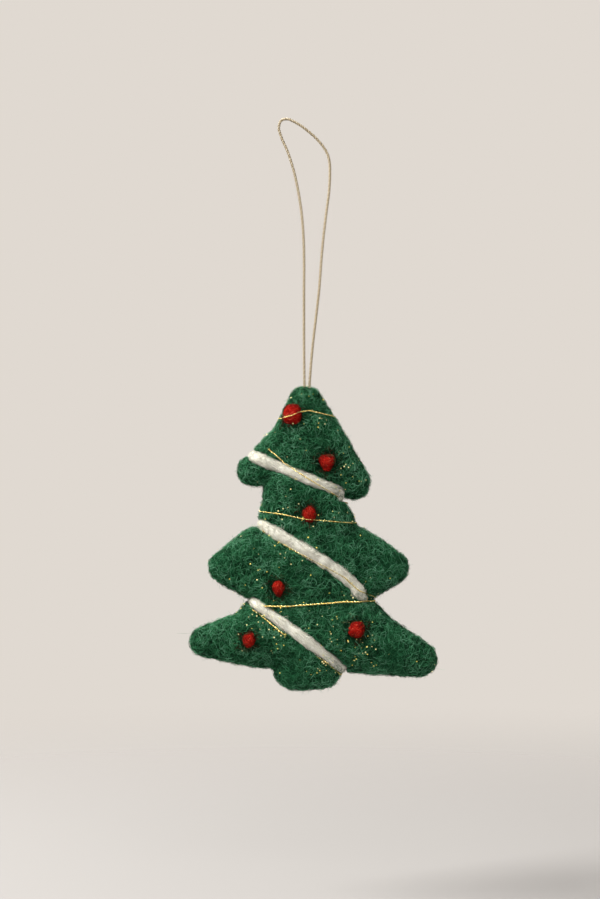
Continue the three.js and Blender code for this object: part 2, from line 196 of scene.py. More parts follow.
# The under layer's darker shares and the over layer's lighter ones are painted shade by depth.
GREEN_LAYERS = {
    "under": {
        "count": 20000,
        "length": (2 * MM, 4 * MM),
        "curl": 0.55,
        "lift": (0, 0.25 * MM),
        "radius": 0.06 * MM,
        "shares": [0.4, 0.42, 0.18, 0],
    },
    "over": {
        "count": 21000,
        "length": (1.8 * MM, 4.2 * MM),
        "curl": 0.65,
        "lift": (0.15 * MM, 0.8 * MM),
        "radius": 0.05 * MM,
        "shares": [0.08, 0.36, 0.4, 0.16],
    },
}
FIBRE_STEPS = 4
FIBRE_SIDES = 3
FIBRE_THICKNESS = (0.7, 1.25)
FIBRE_ENDS = 0.35
ARCH_START = 0.2
TUFT = 3 * MM
TUFT_STRENGTH = 0.58
TUFT_ROUGHNESS = 0.3
TUFT_GAP = 2.3
TUFT_OCTAVES = 2
HALO_COUNT = 5000
HALO_LENGTH = (0.8 * MM, 2.3 * MM)
HALO_CURL = 0.35
HALO_STEPS = 5
HALO_SPREAD = 0.9
HALO_RISE = (0.4, 1.1)
HALO_RADIUS = 0.026 * MM
HALO_SHARES = [0, 0.3, 0.4, 0.3]
LOOP_COUNT = 24
LOOP_LENGTH = (5 * MM, 9 * MM)
LOOP_CURL = 0.6
BALLS = ["tip_ball", "top_ball", "neck_ball", "middle_ball", "left_bough_ball", "right_bough_ball"]
BALL_SHADOW_REACH = 1.3 * MM
CORE_REACH = 1.5 * MM
KNOT_REACH = 0.75 * MM
TIERS = {
    "top": (-128 * MM, -80 * MM),
    "middle": (-158 * MM, -128 * MM),
    "bottom": (-200 * MM, -158 * MM),
}
MOSTLY = 0.8
NO_LENGTH = 1e-12
draw = np.random.default_rng(5)


def surface_of(*pieces):
    """The surface of one or more pieces, to find places on."""
    corners, faces = [], []
    for piece in pieces:
        first = len(corners)
        corners += [corner.co for corner in piece.data.vertices]
        faces += [[first + corner for corner in face.vertices] for face in piece.data.polygons]
    return BVHTree.FromPolygons(corners, faces)


def roots_on(piece, count, keep=None):
    """Places spread evenly over the faces of a piece, or over those of them that keep says yes to."""
    faces = [face for face in piece.data.polygons if keep is None or keep(face)]
    areas = np.array([face.area for face in faces])
    chosen = draw.choice(len(faces), count, p=areas / areas.sum())
    shares = draw.dirichlet([1, 1, 1, 1], count)
    roots = np.empty((count, 3))
    for i, (index, share) in enumerate(zip(chosen, shares)):
        corners = faces[index].vertices
        spots = [piece.data.vertices[corners[k % len(corners)]].co for k in range(len(share))]
        roots[i] = sum((spot * weight for spot, weight in zip(spots, share)), Vector())
    return roots


def unit(vectors):
    """Vectors brought to length 1."""
    return vectors / np.maximum(np.linalg.norm(vectors, axis=-1, keepdims=True), NO_LENGTH)


def matted(surface, roots, length, curl, lift):
    """Fibres that lie on a surface in short curls, each in a low arch with its ends in the wool."""
    count = len(roots)
    lengths = draw.uniform(*length, count)
    headings = draw.normal(size=(count, 3))
    bends = draw.normal(0, curl, (count, 1)) + draw.normal(0, curl / 2, (count, FIBRE_STEPS + 1))
    lifts = draw.uniform(*lift, count)
    lines = np.empty((count, FIBRE_STEPS + 1, 3))
    for i in range(count):
        place, up, _, _ = surface.find_nearest(roots[i])
        ahead = Vector(headings[i])
        for k in range(FIBRE_STEPS + 1):
            ahead = (ahead - up * ahead.dot(up)).normalized()
            arch = math.sin(math.pi * (k + ARCH_START) / (FIBRE_STEPS + 2 * ARCH_START))
            lines[i, k] = place + up * (lifts[i] * arch)
            ahead.rotate(Quaternion(up, bends[i, k]))
            place, up, _, _ = surface.find_nearest(place + ahead * (lengths[i] / FIBRE_STEPS))
    return lines


def turned(vectors, axes, angles):
    """Vectors turned about unit axes."""
    cosines, sines = np.cos(angles)[:, None], np.sin(angles)[:, None]
    along = (vectors * axes).sum(1, keepdims=True)
    return vectors * cosines + np.cross(axes, vectors) * sines + axes * along * (1 - cosines)


def standing_off(surface, roots, length, curl):
    """Loose fibres that rise from a surface and curl away."""
    count = len(roots)
    hits = [surface.find_nearest(root) for root in roots]
    places = np.array([hit[0] for hit in hits])
    ups = np.array([hit[1] for hit in hits])
    sideways = unit(draw.normal(size=(count, 3))) * HALO_SPREAD
    ahead = unit(sideways + ups * draw.uniform(*HALO_RISE, (count, 1)))
    axes = unit(draw.normal(size=(count, 3)))
    strides = draw.uniform(*length, (count, 1)) / HALO_STEPS
    bends = draw.normal(0, curl, count)
    lines = np.empty((count, HALO_STEPS + 1, 3))
    for k in range(HALO_STEPS + 1):
        lines[:, k] = places
        places = places + ahead * strides
        ahead = turned(ahead, axes, bends)
    return lines


def transported(lines):
    """At each point of each line, its direction and two across it, which turn as little as they can."""
    along = unit(np.gradient(lines, axis=1))
    sideways = np.where(np.abs(along[:, 0, :1]) < MOSTLY, [[1, 0, 0]], [[0, 1, 0]])
    across = np.empty_like(along)
    for k in range(lines.shape[1]):
        sideways = unit(sideways - along[:, k] * (sideways * along[:, k]).sum(1, keepdims=True))
        across[:, k] = sideways
    return along, across, np.cross(along, across)


def tubes(name, lines, radii, sides, materials, choice):
    """A piece of closed tubes, one along each line, with the radius at each point and a material for each."""
    count, rings, _ = lines.shape
    _, across, other = transported(lines)
    angles = 2 * math.pi * np.arange(sides) / sides
    ring = across[:, :, None] * np.cos(angles)[:, None] + other[:, :, None] * np.sin(angles)[:, None]
    corners = lines[:, :, None] + ring * radii[:, :, None, None]
    number = np.arange(count * rings * sides).reshape(count, rings, sides)
    onward = np.roll(number, -1, axis=2)
    walls = np.stack([number[:, :-1], onward[:, :-1], onward[:, 1:], number[:, 1:]], axis=-1)
    ends = np.stack([number[:, 0, ::-1], number[:, -1]], axis=1)
    starts = np.concatenate([
        np.arange(0, walls.size, walls.shape[-1]),
        np.arange(0, ends.size, sides) + walls.size,
    ])
    shade = np.concatenate([np.repeat(choice, (rings - 1) * sides), np.repeat(choice, ends.shape[1])])
    mesh = bpy.data.meshes.new(name)
    mesh.vertices.add(number.size)
    mesh.vertices.foreach_set("co", corners.ravel())
    mesh.loops.add(walls.size + ends.size)
    mesh.loops.foreach_set("vertex_index", np.concatenate([walls.ravel(), ends.ravel()]))
    mesh.polygons.add(len(starts))
    mesh.polygons.foreach_set("loop_start", starts)
    mesh.polygons.foreach_set("material_index", shade)
    mesh.polygons.foreach_set("use_smooth", np.ones(len(starts), bool))
    for material in materials:
        mesh.materials.append(material)
    mesh.update(calc_edges=True)
    piece = bpy.data.objects.new(name, mesh)
    bpy.context.scene.collection.objects.link(piece)
    return piece


def tapered(lines, radius):
    """Radii along fibres that are thinnest at their ends and not all alike."""
    count, points, _ = lines.shape
    along = np.sin(math.pi * (np.arange(points) + 0.5) / points)
    thickness = radius * draw.uniform(*FIBRE_THICKNESS, (count, 1))
    return thickness * (FIBRE_ENDS + (1 - FIBRE_ENDS) * along)


def fibre_shades(name, shades):
    """One dull, slightly silky material for each shade of a fibre."""
    materials = []
    for shade in shades:
        material = bpy.data.materials.new(name)
        material.use_nodes = True
        shader = material.node_tree.nodes["Principled BSDF"]
        shader.inputs["Base Color"].default_value = linear(*shade)
        shader.inputs["Roughness"].default_value = 0.6
        shader.inputs["Specular IOR Level"].default_value = 0.12
        shader.inputs["Specular Tint"].default_value = linear(*shade)
        materials.append(material)
    return materials


def patchy(roots, shares):
    """A shade for each fibre by the shares of the dye lot, in lighter and darker tufts."""
    lots = draw.uniform(0, 1, len(roots))
    tufts = [noise.fractal(Vector(root) / TUFT, TUFT_ROUGHNESS, TUFT_GAP, TUFT_OCTAVES) for root in roots]
    lots += TUFT_STRENGTH * np.array(tufts)
    return np.searchsorted(np.cumsum(shares)[:-1], np.clip(lots, 0, 1))


core_surface = surface_of(core)
knot_surface = surface_of(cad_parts["anchor_knot"])
felt_surface = surface_of(felt)


def outside(face):
    """Says whether a face of the skin is on its outside, away from the core and from the knot's pocket."""
    if core_surface.find_nearest(face.center, CORE_REACH)[0] is not None:
        return False
    return knot_surface.find_nearest(face.center, KNOT_REACH)[0] is None


def in_ball_shadow(roots):
    """Says which roots lie close round the balls, whose fibres take the darkest shade as a painted shadow."""
    near = np.zeros(len(roots), bool)
    for node in BALLS:
        low, high = (np.array(corner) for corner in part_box(node))
        reach = (high - low).max() / 2 + BALL_SHADOW_REACH
        near |= np.linalg.norm(roots - (low + high) / 2, axis=1) < reach
    return near


green_shades = fibre_shades("green_fibre", GREEN_FIBRES)
middle_x = sum(corner[0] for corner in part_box("felt_skin")) / 2
for layer, wool in GREEN_LAYERS.items():
    roots = roots_on(felt, wool["count"], outside)
    lines = matted(felt_surface, roots, wool["length"], wool["curl"], wool["lift"])
    radii = tapered(lines, wool["radius"])
    choice = patchy(roots, wool["shares"])
    # Painted shadow: the fibres close round the balls take the darkest green.
    choice[in_ball_shadow(roots)] = 0
    for tier, (bottom, top) in TIERS.items():
        for side, sign in (("left", -1), ("right", 1)):
            here = (roots[:, 2] >= bottom) & (roots[:, 2] < top)
            here &= (roots[:, 0] - middle_x) * sign > 0
            name = f"green_{layer}_{tier}_{side}"
            fibres = tubes(name, lines[here], radii[here], FIBRE_SIDES, green_shades, choice[here])
            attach(fibres, "tree")

halo_lines = np.concatenate([
    standing_off(felt_surface, roots_on(felt, HALO_COUNT, outside), HALO_LENGTH, HALO_CURL),
    standing_off(felt_surface, roots_on(felt, LOOP_COUNT, outside), LOOP_LENGTH, LOOP_CURL),
])
halo_choice = draw.choice(len(GREEN_FIBRES), len(halo_lines), p=HALO_SHARES)
halo_radii = tapered(halo_lines, HALO_RADIUS)
halo = tubes("green_halo", halo_lines, halo_radii, FIBRE_SIDES, green_shades, halo_choice)
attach(halo, "tree")


# Red wool balls
# Six pinches of red wool, rolled into balls and needled into dimples of the front.
# The needle drags fibres of both colours across their rims and leaves strays on the green round them.
# Painted shade: the red fibres go from light at each ball's front to dark, down to brown, at its rim, the
# green fibres on the rims are mostly of the darkest green, and the strays are coloured brown like a shadow.

BALL_VOXEL = 0.25 * MM
BALL_SOFTENING = 14
BALL_SUNK = 0.4 * MM
BALL_LUMPS = [(2 * MM, 0.35 * MM), (0.7 * MM, 0.12 * MM)]
# Each pinch has its place from the middle of the ball, to the right and up, and its radius, in millimetres.
PINCHES = {
    "tip_ball": [(0, 0, 3.2), (0.4, 1.2, 2.4), (-0.7, -0.6, 2.6), (0.7, -1, 2.4), (-0.3, 0.9, 2.5)],
    "top_ball": [(0, 0.2, 2.35), (-1.2, 1, 1.6), (1.2, 0.9, 1.65), (0.1, -1.4, 1.6)],
    "neck_ball": [(0.2, -0.3, 2.2), (0.4, 0.8, 1.7), (0.3, -1.3, 1.7), (-0.8, 0, 1.5)],
    "middle_ball": [(0.4, 0.8, 2), (0.9, 0.8, 1.4), (0.5, -0.8, 1.4), (0.6, -1.6, 1)],
    "left_bough_ball": [(0.1, -0.35, 2.1), (-0.8, -0.1, 1.4), (0.4, 0.6, 1.6), (0.1, -1.3, 1.5)],
    "right_bough_ball": [(-0.2, 0, 2.65), (0.6, 0.8, 1.8), (-1.1, -0.7, 1.7), (0.5, -1, 1.7)],
}
RED_SHADES = [(88, 8, 8), (146, 22, 16), (188, 44, 32)]
RED_STRAND = 0.7 * MM
RED_PATCH = 3 * MM
# The first, brown shade is a painted shade, for the ball rims and the strays round them.
RED_FIBRES = [(70, 30, 21), (118, 17, 13), (169, 31, 21), (205, 56, 40), (226, 102, 80)]
RED_RADIUS = 0.05 * MM
BALL_FIBRES = 560
BALL_MAT = {"length": (1 * MM, 2.4 * MM), "curl": 0.5, "lift": (0, 0.25 * MM)}
LIT_FRONT_SHADE = 2.7
SHADE_DROP_TO_RIM = 5.5
SHADE_SPREAD = 0.8
RIM_LENGTH = (1.2 * MM, 2.6 * MM)
RIM_CURL = 0.6
SHADOWED_RIM_SHARES = [0.7, 0.25, 0.05, 0]
GREEN_RIM = {"count": 110, "reach": (0, 0.9 * MM), "lift": (0.1 * MM, 0.4 * MM)}
DARK_STRAYS = {"count": 60, "reach": (0.1 * MM, 1.8 * MM), "lift": (0.3 * MM, 0.8 * MM)}

red_wool = felted_wool("red_wool", RED_SHADES, RED_STRAND, RED_PATCH)
balls = []
for node in BALLS:
    low, high = (Vector(corner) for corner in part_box(node))
    ball = None
    for x, z, radius in PINCHES[node]:
        spot = (low + high) / 2 + Vector((x, 0, z)) * MM + Vector((0, BALL_SUNK, 0))
        bpy.ops.object.select_all(action="DESELECT")
        bpy.ops.mesh.primitive_ico_sphere_add(subdivisions=3, radius=radius * MM, location=spot)
        bpy.ops.object.transform_apply()
        if ball is None:
            ball = bpy.context.object
            continue
        ball.select_set(True)
        bpy.context.view_layer.objects.active = ball
        bpy.ops.object.join()
    ball.name = node.replace("_ball", "_felt_ball")
    needled(ball, BALL_VOXEL, BALL_SOFTENING, BALL_LUMPS)
    ball.data.materials.append(red_wool)
    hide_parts(node)
    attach(ball, "tree")
    balls.append(ball)

felt_and_balls = surface_of(felt, *balls)


def round_rim(low, high, count, reach, lift):
    """Fibres on the wool round a ball, some way out from its rim."""
    turns = draw.uniform(0, 2 * math.pi, count)
    outward = np.stack([np.cos(turns), np.zeros(count), np.sin(turns)], axis=1)
    roots = (low + high) / 2 + outward * ((high - low) / 2 + draw.uniform(*reach, (count, 1)))
    return matted(felt_and_balls, roots, RIM_LENGTH, RIM_CURL, lift)


red_lines = []
red_choice = []
rim_lines = []
for ball in balls:
    corners = np.array([corner.co for corner in ball.data.vertices])
    low, high = corners.min(0), corners.max(0)
    roots = roots_on(ball, BALL_FIBRES)
    red_lines.append(matted(felt_and_balls, roots, **BALL_MAT))
    # Painted shade: lighter red shades at the ball's front, darker ones towards its rim.
    depth = (roots[:, 1] - low[1]) / (high[1] - low[1])
    shade = np.rint(draw.normal(LIT_FRONT_SHADE - SHADE_DROP_TO_RIM * depth, SHADE_SPREAD))
    red_choice.append(np.clip(shade, 0, len(RED_FIBRES) - 1).astype(int))
    rim_lines.append(round_rim(low, high, **GREEN_RIM))
    # The strays are real loose fibres, given the brown shade as a painted shadow.
    red_lines.append(round_rim(low, high, **DARK_STRAYS))
    red_choice.append(np.zeros(DARK_STRAYS["count"], int))
red_lines = np.concatenate(red_lines)
red_choice = np.concatenate(red_choice)
red_radii = tapered(red_lines, RED_RADIUS)
red_shades = fibre_shades("red_fibre", RED_FIBRES)
red_fibres = tubes("red_fibres", red_lines, red_radii, FIBRE_SIDES, red_shades, red_choice)
rim_lines = np.concatenate(rim_lines)
# Painted shade: the green fibres on the ball rims are mostly of the darkest shade.
rim_choice = draw.choice(len(GREEN_FIBRES), len(rim_lines), p=SHADOWED_RIM_SHARES)
rim_radii = tapered(rim_lines, RED_RADIUS)
rim_fibres = tubes("rim_fibres", rim_lines, rim_radii, FIBRE_SIDES, green_shades, rim_choice)
for fibres, slot in ((red_fibres, "red_wool"), (rim_fibres, "green_wool")):
    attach(fibres, "tree")


# White yarn garland
# One length of thick, hardly spun wool yarn, wound round the tree and needled half into the felt, which
# presses it flat on the front and the back. It is uneven in width, its fibres run along it with a slow
# twist, green ones cross its edges and its turns, and its two ends are buried in the back.

YARN_RADIUS = 1.93 * MM
YARN_PLACES = [0, 0.25, 0.42, 0.56, 0.62, 0.73, 0.785, 0.84, 1]
YARN_WIDTHS = [0.8, 0.8, 1, 1, 0.84, 0.84, 0.7, 0.84, 0.84]
YARN_WAVE = 5
YARN_UNEVEN = 0.13
YARN_PULLED = 0.16
YARN_PULLED_REACH = 17 * MM
YARN_BURIED = 4 * MM
YARN_BURIED_DEPTH = 2 * MM
YARN_BURIED_THINNER = 0.6
YARN_FLAT = 0.6
TREE_HALF = 8 * MM
YARN_SPACING = 0.5 * MM
YARN_ROUNDS = 10
YARN_SIDES = 18
YARN_SHADES = [(192, 190, 179), (215, 213, 203), (230, 228, 220)]
YARN_STRAND = 1.0 * MM
YARN_PATCH = 7 * MM
YARN_FIBRES = [(194, 189, 172), (219, 216, 201), (233, 231, 219), (245, 243, 234)]
YARN_SHARES = [0.15, 0.3, 0.35, 0.2]
YARN_FIBRE_RADIUS = 0.063 * MM
YARN_FUZZ_RADIUS = 0.042 * MM
YARN_TWIST = 0.5
YARN_TWIST_SPREAD = 0.7
YARN_WOBBLE = 0.1
YARN_FIBRE_ENDS = 0.97
YARN_FIBRE_ARCH = 0.06
YARN_RUNNING = {"count": 2400, "length": (3 * MM, 7 * MM), "lift": (0, 0.12 * MM), "rising": False}
YARN_FUZZ = {"count": 1300, "length": (3 * MM, 6 * MM), "lift": (0.2 * MM, 0.8 * MM), "rising": True}
YARN_MATTED = 3000
YARN_MAT = {"length": (1 * MM, 2.6 * MM), "curl": 0.6, "lift": (0, 0.45 * MM)}
EDGE_PLACE = (0.85, 1.1)
EDGE_CURL = 0.6
EDGE_WHITE = {"count": 1900, "length": (1 * MM, 2.2 * MM), "lift": (0.1 * MM, 0.7 * MM)}
EDGE_GREEN = {"count": 500, "length": (1 * MM, 2.4 * MM), "lift": (0.1 * MM, 0.45 * MM)}
EDGE_RADIUS = 0.04 * MM
EDGE_SHARES = [0.3, 0.4, 0.3, 0]
TURN_GREEN = 110
TURN_SPREAD = 1.9 * MM
TURN_FRONT = 10
TURN_MAT = {"length": (1.4 * MM, 3 * MM), "curl": 0.6, "lift": (0.1 * MM, 0.5 * MM)}
SAME_WAY = 0.9999


def centre_line(node):
    """The middle line of a CAD tube, found by walking along it ring by ring from the middle of one end."""
    tube = copy_of_node(node, node + "_walk")
    around = {corner.index: set() for corner in tube.data.vertices}
    for edge in tube.data.edges:
        a, b = edge.vertices
        around[a].add(b)
        around[b].add(a)
    facing = {}
    for face in tube.data.polygons:
        for corner in face.vertices:
            facing.setdefault(corner, []).append(face.normal)
    end = min(
        corner for corner, normals in facing.items()
        if all(normal.dot(normals[0]) > SAME_WAY for normal in normals)
    )
    ring, seen, line = {end}, {end}, []
    while ring:
        line.append(sum((tube.data.vertices[corner].co for corner in ring), Vector()) / len(ring))
        ring = set().union(*(around[corner] for corner in ring)) - seen
        seen |= ring
    bpy.data.objects.remove(tube)
    return np.array(line)


def evenly(line, spacing, rounds):
    """Points at an even spacing along a line, with its corners rounded off over some points each way."""
    lengths = np.concatenate([[0], np.cumsum(np.linalg.norm(np.diff(line, axis=0), axis=1))])
    places = np.linspace(0, lengths[-1], round(lengths[-1] / spacing) + 1)
    points = np.stack([np.interp(places, lengths, line[:, k]) for k in range(3)], axis=1)
    for _ in range(rounds):
        points[1:-1] = (points[:-2] + 2 * points[1:-1] + points[2:]) / 4
    return points


def wavy(count, waves, strength):
    """A slow random variation round 1 along a strand."""
    knots = draw.normal(1, strength, waves)
    return np.interp(np.linspace(0, waves - 1, count), np.arange(waves), knots)


def off_the_tree(line, along):
    """At each point of a winding, the direction across it that points away from the tree."""
    deep = np.clip(line[:, 1] / TREE_HALF, -1, 1)
    ups = np.zeros_like(line)
    ups[:, 0] = np.sign(line[:, 0] - middle_x) * (1 - np.abs(deep))
    ups[:, 1] = deep
    return unit(ups - along * (ups * along).sum(1, keepdims=True))


def pressed_flat(points, middles, ups):
    """Points of a strand that is pressed flat against the front and the back, and round at the sides."""
    heights = ((points - middles) * ups).sum(-1, keepdims=True)
    pressed = (1 - YARN_FLAT) * np.clip(np.abs(middles[..., 1:2]) / TREE_HALF, 0, 1)
    return points - ups * heights * pressed


yarn_line = evenly(centre_line("yarn_garland"), YARN_SPACING, YARN_ROUNDS)
yarn_points = len(yarn_line)
yarn_along, yarn_across, yarn_other = (vectors[0] for vectors in transported(yarn_line[None]))
yarn_ups = off_the_tree(yarn_line, yarn_along)
yarn_radii = YARN_RADIUS * np.interp(np.linspace(0, 1, yarn_points), YARN_PLACES, YARN_WIDTHS)
yarn_radii = yarn_radii * wavy(yarn_points, yarn_points // YARN_WAVE, YARN_UNEVEN)

# It is pulled tighter, and so is thinner, near its turns round the right side.
turns = np.flatnonzero((yarn_line[:-1, 1] < 0) != (yarn_line[1:, 1] < 0))
right_turns = turns[yarn_line[turns, 0] > middle_x]
from_turn = np.abs(np.arange(yarn_points)[:, None] - right_turns).min(1) * YARN_SPACING
yarn_radii = yarn_radii * (1 - YARN_PULLED * np.clip(1 - from_turn / YARN_PULLED_REACH, 0, 1))

# Its ends sink into the felt and thin out there.
from_end = np.minimum(np.arange(yarn_points), np.arange(yarn_points)[::-1]) * YARN_SPACING
buried = np.clip(1 - from_end / YARN_BURIED, 0, 1) ** 2
yarn_line = yarn_line - yarn_ups * YARN_BURIED_DEPTH * buried[:, None]
yarn_radii = yarn_radii * (1 - YARN_BURIED_THINNER * buried)

white_yarn = felted_wool("white_yarn", YARN_SHADES, YARN_STRAND, YARN_PATCH)
yarn = tubes("wool_garland", yarn_line[None], yarn_radii[None], YARN_SIDES, [white_yarn], np.zeros(1, int))
for corner in yarn.data.vertices:
    ring = corner.index // YARN_SIDES
    corner.co = pressed_flat(np.array(corner.co), yarn_line[ring], yarn_ups[ring])
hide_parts("yarn_garland")
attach(yarn, "tree")


def yarn_fibres(count, length, lift, rising):
    """Fibres that run along the yarn, each in a twist of its own, and lie close or rise to a loose end."""
    starts = draw.uniform(0, yarn_points - 1, count)
    spans = draw.uniform(*length, count) / YARN_SPACING
    angles = draw.uniform(0, 2 * math.pi, count)
    twists = draw.normal(YARN_TWIST, YARN_TWIST_SPREAD, count)
    lines = np.empty((count, FIBRE_STEPS + 1, 3))
    for k in range(FIBRE_STEPS + 1):
        share = k / FIBRE_STEPS
        index = np.clip(np.rint(starts + spans * share).astype(int), 0, yarn_points - 1)
        angle = angles + twists * share + draw.normal(0, YARN_WOBBLE, count)
        lifts = draw.uniform(*lift, count) * (share if rising else 1)
        over = yarn_radii[index] * (YARN_FIBRE_ENDS + YARN_FIBRE_ARCH * math.sin(math.pi * share)) + lifts
        out = yarn_across[index] * np.cos(angle)[:, None] + yarn_other[index] * np.sin(angle)[:, None]
        lines[:, k] = pressed_flat(yarn_line[index] + out * over[:, None], yarn_line[index], yarn_ups[index])
    return lines


def edge_fibres(count, length, lift):
    """Fibres that the needle has dragged across the yarn's edges, partly on it and partly on the felt."""
    index = draw.integers(0, yarn_points, count)
    out = np.cross(yarn_along[index], yarn_ups[index]) * draw.choice([-1, 1], (count, 1))
    roots = yarn_line[index] + out * yarn_radii[index, None] * draw.uniform(*EDGE_PLACE, (count, 1))
    return matted(felt_and_yarn, roots, length, EDGE_CURL, lift)


yarn_surface = surface_of(yarn)
felt_and_yarn = surface_of(felt, yarn)
yarn_running = yarn_fibres(**YARN_RUNNING)
yarn_mat = matted(yarn_surface, roots_on(yarn, YARN_MATTED), **YARN_MAT)
yarn_fuzz = yarn_fibres(**YARN_FUZZ)
yarn_wisps = edge_fibres(**EDGE_WHITE)
white_shades = fibre_shades("white_fibre", YARN_FIBRES)
for name, lines, radius in (
    ("garland_fibres", np.concatenate([yarn_running, yarn_mat]), YARN_FIBRE_RADIUS),
    ("garland_fuzz", np.concatenate([yarn_fuzz, yarn_wisps]), YARN_FUZZ_RADIUS),
):
    choice = draw.choice(len(YARN_FIBRES), len(lines), p=YARN_SHARES)
    fibres = tubes(name, lines, tapered(lines, radius), FIBRE_SIDES, white_shades, choice)
    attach(fibres, "tree")

# Green fibres are dragged across its edges, and over its front beside the turns on the right.
onward_in_front = yarn_line[right_turns + TURN_FRONT, 1] < 0
fronts = right_turns + np.where(onward_in_front, TURN_FRONT, -TURN_FRONT)
turn_roots = np.repeat(yarn_line[fronts] + yarn_ups[fronts] * YARN_RADIUS, TURN_GREEN, axis=0)
turn_roots = turn_roots + draw.normal(0, TURN_SPREAD, turn_roots.shape)
edge_lines = np.concatenate([
    edge_fibres(**EDGE_GREEN),
    matted(felt_and_yarn, turn_roots, **TURN_MAT),
])
edge_choice = draw.choice(len(GREEN_FIBRES), len(edge_lines), p=EDGE_SHARES)
edge_radii = tapered(edge_lines, EDGE_RADIUS)
yarn_edge = tubes("garland_edge", edge_lines, edge_radii, FIBRE_SIDES, green_shades, edge_choice)
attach(yarn_edge, "tree")


# Gold thread
# Fine metallised sewing thread of two plies, wound tightly round the tree over the yarn and the balls.
# It lies full across the waist and beside the yarn, and elsewhere it sinks into the wool here and there.
# Besides its own metal reflection, one ply is coloured pale gold and the other dark gold, painted glints
# and dim gaps along the twist.

PLIES = 2
STRAND_SIDES = 5
THREAD_PITCH = 1.2 * MM
THREAD_OFFSET = 0.11 * MM
THREAD_PLY = 0.12 * MM
THREAD_SPACING = 0.16 * MM
THREAD_ROUNDS = 12
THREAD_SOFTENING = 30
# A pale ply and a dark ply: painted glints and dim gaps.
THREAD_GLINT_AND_SHADE = [(190, 160, 78), (255, 242, 170)]
THREAD_REACH = 2.5 * MM
OVER_FELT = 0.55 * MM
OVER_YARN = 0.16 * MM
THREAD_SUNK = (-0.15 * MM, 0.25 * MM)
SUNK_STRETCH = 26
SUNK_SPREAD = 1
# The windows of the front are given by their left, right, bottom and top, in millimetres.
TUCKED_DEPTH = 1.1 * MM
TUCKED = [
    (-12, -6.6, -109, -103),
    (-15, -6.2, -136.4, -131.5),
    (-17, -7.4, -160, -158.7),
    (-18, -11.6, -162, -159.5),
    (-0.6, 9.8, -177, -166),
]
# The last number of each of these is how full the thread is there.
THREAD_FULLNESS = 0.88
FULL = [
    (-8, 30, -160.5, -157, 1.3),
    (-6.2, 5, -145, -135.5, 1.1),
    (-11.6, -0.5, -170, -160.6, 1.1),
]


def plied(line, offset, pitch, spacing, plies):
    """Lines of plies that twist round a middle line, at an offset that may change along it."""
    _, across, other = (vectors[0] for vectors in transported(line[None]))
    turn = 2 * math.pi * np.arange(len(line)) * spacing / pitch
    lines = []
    for ply in range(plies):
        angle = (turn + 2 * math.pi * ply / plies)[:, None]
        lines.append(line + (across * np.cos(angle) + other * np.sin(angle)) * offset)
    return np.array(lines)


def softened(values, rounds):
    """Values along a strand with their steps smoothed out."""
    for _ in range(rounds):
        between = (values[:-2] + 2 * values[1:-1] + values[2:]) / 4
        values = np.concatenate([values[:1], between, values[-1:]])
    return values


def on_front(line, left, right, bottom, top):
    """Says which points of a winding lie in a window of the front, given in millimetres."""
    inside = (line[:, 1] < 0) & (line[:, 0] > left * MM) & (line[:, 0] < right * MM)
    return inside & (line[:, 2] > bottom * MM) & (line[:, 2] < top * MM)


def metallised(name, shades, metallic, roughness):
    """One metallic material for each ply of a strand."""
    materials = []
    for shade in shades:
        material = bpy.data.materials.new(name)
        material.use_nodes = True
        shader = material.node_tree.nodes["Principled BSDF"]
        shader.inputs["Base Color"].default_value = linear(*shade)
        shader.inputs["Metallic"].default_value = metallic
        shader.inputs["Roughness"].default_value = roughness
        materials.append(material)
    return materials


# It is let down onto the felt, or onto the yarn and the balls where it crosses them.
thread_line = evenly(centre_line("gold_thread"), THREAD_SPACING, THREAD_ROUNDS)
thread_points = len(thread_line)
thread_ups = off_the_tree(thread_line, transported(thread_line[None])[0][0])
yarn_and_balls = surface_of(yarn, *balls)
drops = np.full(thread_points, THREAD_REACH)
for i, (point, up) in enumerate(zip(thread_line, thread_ups)):
    for surface, height in ((felt_surface, OVER_FELT), (yarn_and_balls, OVER_YARN)):
        gap = surface.ray_cast(Vector(point), -Vector(up), THREAD_REACH)[3]
        drops[i] = min(drops[i], THREAD_REACH if gap is None else gap - height)
drops[drops == THREAD_REACH] = 0

# Then it sinks in and comes up again along its length, and is full or tucked in where the windows say.
waves = wavy(thread_points, thread_points // SUNK_STRETCH, SUNK_SPREAD)
sunk = np.interp(waves, (1 - SUNK_SPREAD, 1 + SUNK_SPREAD), THREAD_SUNK)
fullness = np.full(thread_points, THREAD_FULLNESS)
for *window, full in FULL:
    here = on_front(thread_line, *window)
    sunk[here] = THREAD_SUNK[0]
    fullness[here] = full
for window in TUCKED:
    sunk[on_front(thread_line, *window)] = TUCKED_DEPTH
thread_line = thread_line - thread_ups * softened(drops + sunk, THREAD_SOFTENING)[:, None]
fullness = softened(fullness, THREAD_SOFTENING)
thread_offsets = THREAD_OFFSET * fullness[:, None]
thread_plies = plied(thread_line, thread_offsets, THREAD_PITCH, THREAD_SPACING, PLIES)
thread_radii = np.tile(THREAD_PLY * fullness, (PLIES, 1))
thread_glint_foil = metallised("gold_foil_painted_glint", THREAD_GLINT_AND_SHADE, metallic=0.9, roughness=0.25)
thread = tubes("metallic_thread", thread_plies, thread_radii, STRAND_SIDES, thread_glint_foil, np.arange(PLIES))
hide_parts("gold_thread")
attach(thread, "tree")


# Stopper knot
# The two ends of the hanging cord go down through the tip and are tied in a barrel knot under the skin.
# It can't pull through the felt, and only the cord above it comes out of the tip.

